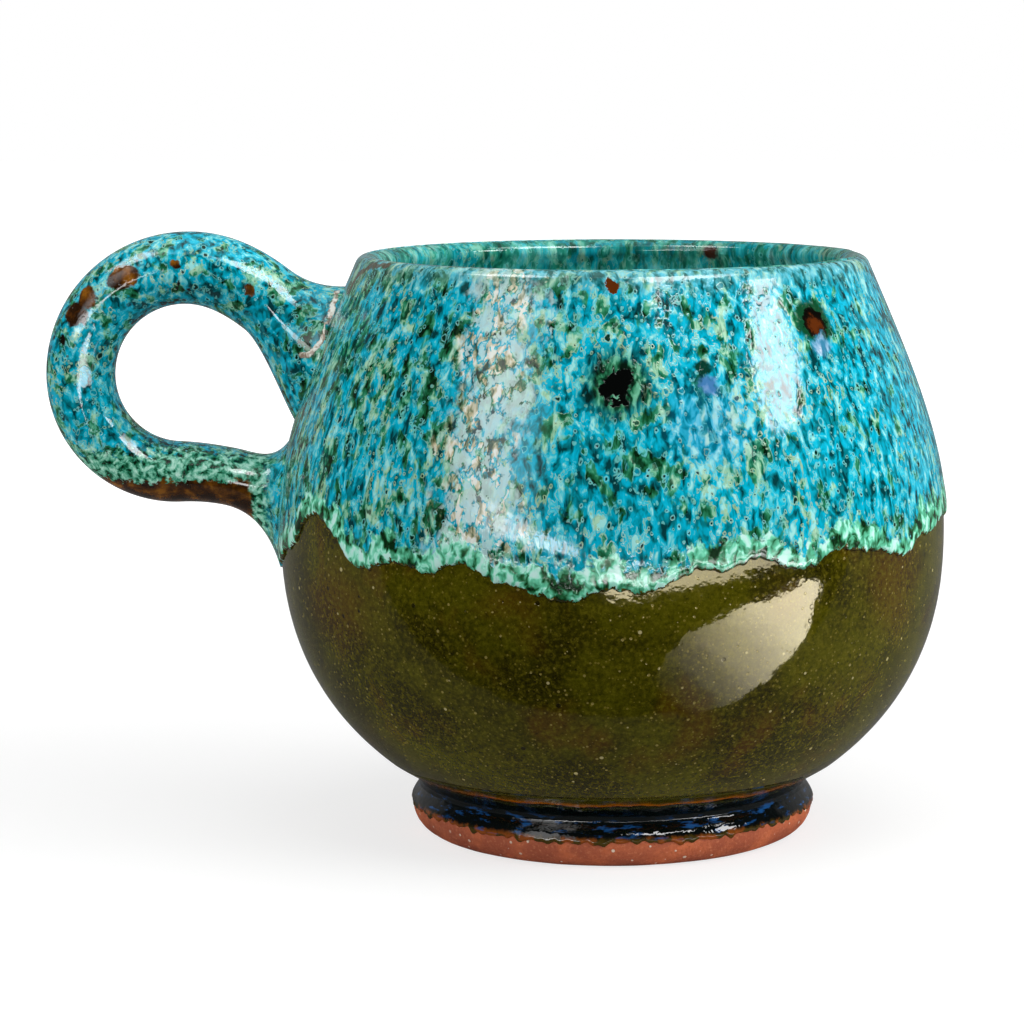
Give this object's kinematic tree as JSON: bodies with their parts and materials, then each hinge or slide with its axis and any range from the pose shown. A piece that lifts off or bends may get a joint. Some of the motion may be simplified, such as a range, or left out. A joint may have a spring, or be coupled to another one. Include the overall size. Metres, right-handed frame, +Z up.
{
  "type": "jarrito clay mug",
  "caption": "Round-bellied clay mug with one pulled loop handle, a low turned foot ring, an olive glaze below and a thick turquoise reactive glaze that ends in a ragged hem.",
  "frame": {"origin": "on the mug's axis, in the plane of the foot's resting face", "axes": "+Z up along the axis to the mouth; the handle stands out towards -X"},
  "size_m": [0.1403, 0.1049, 0.0934],
  "materials": {
    "red_clay": "unglazed fired red clay, matte with tiny white specks",
    "olive_glaze": "glossy transparent olive-brown glaze with amber patches and fine golden specks",
    "black_glaze": "glossy black-green pooled glaze",
    "liner_glaze": "glossy teal-green glaze with brown-green streaks",
    "turquoise_glaze": "glossy turquoise reactive glaze, streaked and cellular, pale mint at its hem"
  },
  "bodies": {
    "root": {"bowl": "red_clay", "foot_ring": "red_clay", "upper_root": "red_clay", "lower_root": "red_clay", "handle": "red_clay", "base_glaze": "olive_glaze", "foot_glaze": "black_glaze", "liner_glaze": "liner_glaze", "top_glaze": "turquoise_glaze", "handle_glaze": "turquoise_glaze"}
  },
  "joints": []
}
